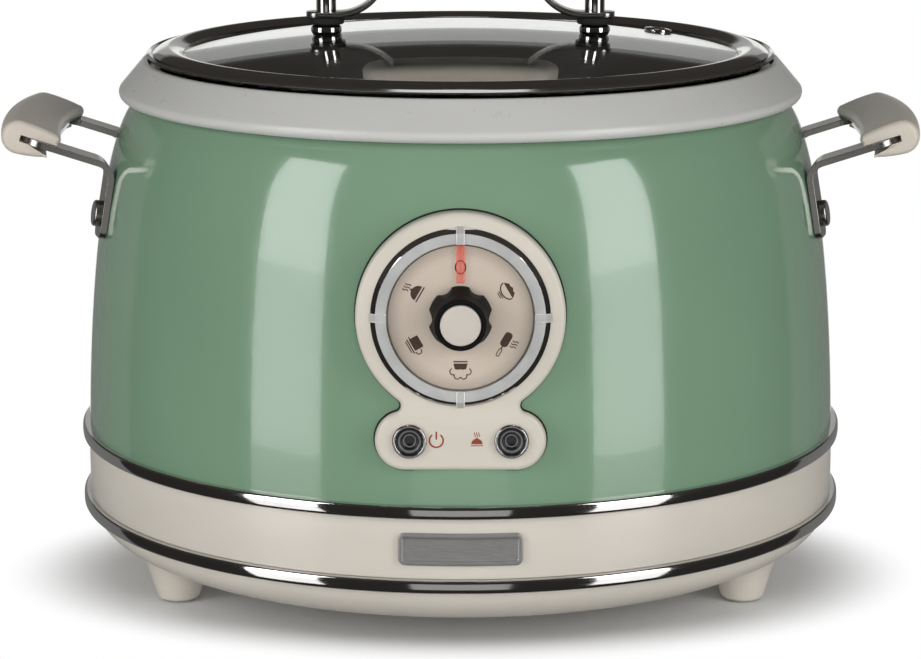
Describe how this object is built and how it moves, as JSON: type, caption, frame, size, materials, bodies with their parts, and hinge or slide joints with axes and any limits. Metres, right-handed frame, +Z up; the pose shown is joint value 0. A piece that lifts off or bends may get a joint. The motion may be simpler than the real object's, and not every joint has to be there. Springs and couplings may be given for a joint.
{
  "type": "slow cooker",
  "caption": "Round retro slow cooker with a removable pot, a glass lid, side handles, and a front panel with a turning selector dial and indicator lamps.",
  "frame": {"origin": "on the table, under the middle of the cooker's overall outline", "axes": "+Z up; the control panel faces -Y; +X is to the right of a person who looks at the panel"},
  "size_m": [0.3676, 0.3259, 0.2599],
  "materials": {
    "cream_pan": "gloss, moulded",
    "pad_rubber": "matt",
    "trim_chrome": "polished",
    "cream_band": "gloss, moulded",
    "screw_steel": "zinc plated",
    "badge_metal": "polished",
    "green_paint": "gloss paint",
    "grey_collar": "satin, moulded",
    "liner_steel": "satin",
    "plate_aluminium": "cast and turned",
    "element_steel": "dull",
    "sensor_aluminium": "turned",
    "spring_steel": "bright",
    "fuse_ceramic": "matt",
    "bracket_steel": "satin polished",
    "cream_grip": "satin, moulded",
    "rivet_steel": "satin",
    "cream_fascia": "satin, moulded",
    "dial_silver": "satin with polished bevel",
    "cursor_red": "clear, tinted",
    "dial_face": "matt, printed",
    "knob_black": "gloss",
    "cap_cream": "satin",
    "shaft_steel": "turned",
    "switch_black": "matt",
    "board_green": "lacquered",
    "bezel_chrome": "polished",
    "lens_dark": "gloss, smoked",
    "socket_black": "matt",
    "pin_brass": "plated",
    "pot_aluminium": "polished flange, dark coated inside",
    "lid_glass": "clear",
    "rim_chrome": "polished",
    "eyelet_steel": "polished",
    "strap_steel": "satin polished",
    "ferrule_chrome": "polished",
    "washer_rubber": "matt",
    "nut_chrome": "polished"
  },
  "bodies": {
    "body": {"base_pan": "cream_pan", "foot_pads": "pad_rubber", "lower_trim_ring": "trim_chrome", "base_band": "cream_band", "upper_trim_ring": "trim_chrome", "base_screws": "screw_steel", "base_nuts": "screw_steel", "badge_plate": "badge_metal", "outer_shell": "green_paint", "top_collar": "grey_collar", "pot_liner": "liner_steel", "heating_plate": "plate_aluminium", "heating_element": "element_steel", "plate_posts": "screw_steel", "post_nuts": "screw_steel", "sensor_housing": "liner_steel", "sensor_spring": "spring_steel", "thermal_fuse": "fuse_ceramic", "fuse_clip": "screw_steel", "right_handle_bracket": "bracket_steel", "left_handle_bracket": "bracket_steel", "right_handle_grip": "cream_grip", "left_handle_grip": "cream_grip", "handle_rivets": "rivet_steel", "control_fascia": "cream_fascia", "dial_ring": "dial_silver", "dial_cursor": "cursor_red", "selector_switch": "switch_black", "control_board": "board_green", "board_screws": "screw_steel", "left_lamp_bezel": "bezel_chrome", "right_lamp_bezel": "bezel_chrome", "left_lamp_lens": "lens_dark", "right_lamp_lens": "lens_dark", "inlet_socket": "socket_black", "inlet_pins": "pin_brass"},
    "pot": {"cooking_pot": "pot_aluminium"},
    "lid": {"lid_glass": "lid_glass", "lid_rim": "rim_chrome", "lid_vent": "eyelet_steel", "lid_strap": "strap_steel", "lid_grip": "cream_grip", "lid_ferrules": "ferrule_chrome", "lid_washers": "washer_rubber", "lid_nuts": "nut_chrome", "lid_gaskets": "washer_rubber", "lid_screws": "screw_steel"},
    "dial": {"dial_disc": "dial_face", "selector_knob": "knob_black", "knob_cap": "cap_cream", "selector_shaft": "shaft_steel"},
    "sensor": {"sensor_cap": "sensor_aluminium"}
  },
  "joints": [
    {"name": "pot_lift", "type": "slide", "parent": "body", "child": "pot", "axis": [0, 0, 1], "range_m": [0, 0.15]},
    {"name": "lid_lift", "type": "slide", "parent": "pot", "child": "lid", "axis": [0, 0, 1], "range_m": [0, 0.1]},
    {"name": "dial_turn", "type": "hinge", "parent": "body", "child": "dial", "pos_m": [0, -0.14325, 0.1354], "axis": [0, -0.999, 0.0436], "range_deg": [0, 300]},
    {"name": "sensor_press", "type": "slide", "parent": "body", "child": "sensor", "axis": [0, 0, 1], "range_m": [-0.004, 0], "stiffness_N_per_m": 800, "springref_m": 0.004, "deforming": ["sensor_spring"]}
  ]
}
